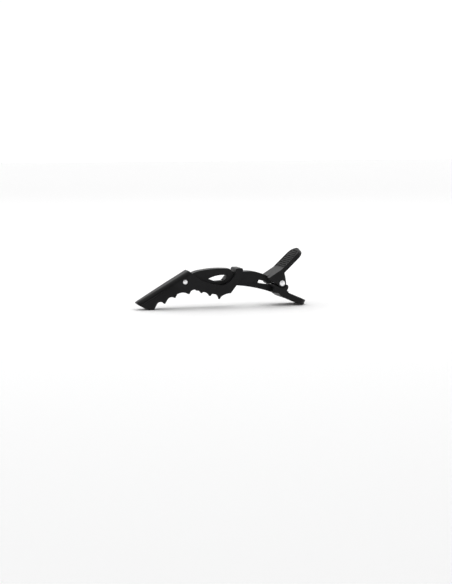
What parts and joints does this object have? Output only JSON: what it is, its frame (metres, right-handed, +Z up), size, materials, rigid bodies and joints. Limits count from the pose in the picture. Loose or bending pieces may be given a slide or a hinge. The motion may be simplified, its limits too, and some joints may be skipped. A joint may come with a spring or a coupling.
{
  "type": "sectioning clip",
  "caption": "Double-hinged croc hair clip: toothed swivelling jaw and thumb lever over a curved spine, sprung at the finger levers.",
  "frame": {"origin": "bottom centre of the closed clip's bounding box, on the surface it stands on", "axes": "+X from the snout to the levers, +Y across, +Z up with the clip standing on its fang and lever end"},
  "size_m": [0.1128, 0.0194, 0.0366],
  "materials": {
    "black_plastic": "matte, fine spark-eroded grain",
    "pin_steel": "bright nickel-plated steel",
    "spring_steel": "drawn wire"
  },
  "bodies": {
    "lower_arm": {"lower_arm": "black_plastic", "torsion_spring": "spring_steel"},
    "upper_arm": {"upper_arm": "black_plastic", "rear_pin": "pin_steel"},
    "jaw": {"jaw": "black_plastic", "front_pin": "pin_steel"}
  },
  "joints": [
    {"name": "thumb_hinge", "type": "hinge", "parent": "lower_arm", "child": "upper_arm", "pos_m": [0.03811, 0, 0.0148], "axis": [0, 1, 0], "range_deg": [0, 38], "stiffness_Nm_per_rad": 0.18, "springref_deg": -51.57, "deforming": ["torsion_spring"]},
    {"name": "jaw_hinge", "type": "hinge", "parent": "upper_arm", "child": "jaw", "pos_m": [-0.02559, 0, 0.0172], "axis": [0, -1, 0], "range_deg": [0, 10]}
  ]
}
